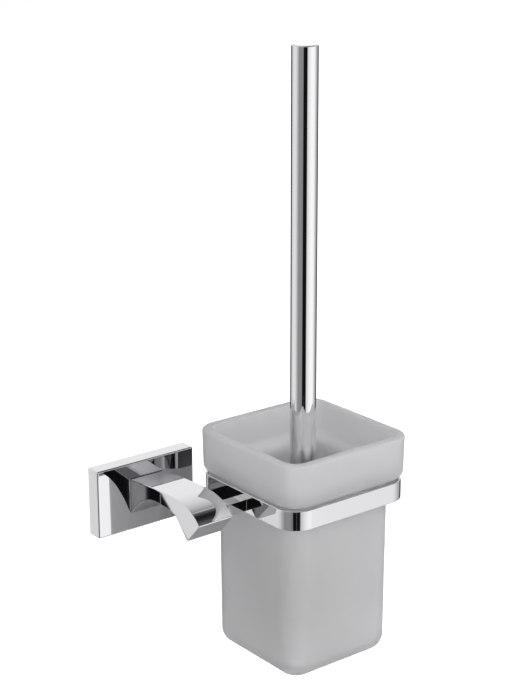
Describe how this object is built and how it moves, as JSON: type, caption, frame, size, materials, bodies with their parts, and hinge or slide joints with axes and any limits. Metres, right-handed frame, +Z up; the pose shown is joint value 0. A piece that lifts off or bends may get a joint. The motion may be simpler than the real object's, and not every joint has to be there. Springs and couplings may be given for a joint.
{
  "type": "toilet brush holder",
  "caption": "Wall-mounted toilet brush holder: chromed plate, curved arm and square ring carry a frosted glass cup with a brush on a round chromed handle.",
  "frame": {"origin": "centre of the wall plate's back, which lies flat against the wall", "axes": "+X right along the wall, +Y into the wall, +Z up along the brush handle"},
  "size_m": [0.158, 0.1226, 0.38],
  "materials": {
    "chrome": "mirror polished",
    "handle_chrome": "mirror polished",
    "bracket_metal": "as cast, zinc",
    "screw_steel": "plain",
    "insert_brass": "turned",
    "frosted_glass": "satin frosted",
    "head_plastic": "moulded",
    "bristles": "nylon filament"
  },
  "bodies": {
    "holder": {"wall_bracket": "bracket_metal", "wall_plate": "chrome", "grub_screw": "screw_steel", "arm": "chrome", "arm_screw_left": "screw_steel", "arm_screw_right": "screw_steel", "side_bar": "chrome", "ring": "chrome", "ring_screw": "screw_steel"},
    "cup": {"glass_cup": "frosted_glass"},
    "brush": {"handle_tube": "handle_chrome", "handle_cap": "handle_chrome", "handle_insert": "insert_brass", "brush_stud": "screw_steel", "brush_core": "head_plastic", "brush_bristles": "bristles"}
  },
  "joints": [
    {"name": "cup_lift", "type": "slide", "parent": "holder", "child": "cup", "axis": [0, 0, 1], "range_m": [0, 0.125]},
    {"name": "brush_lift", "type": "slide", "parent": "cup", "child": "brush", "axis": [0, 0, 1], "range_m": [0, 0.15]}
  ]
}
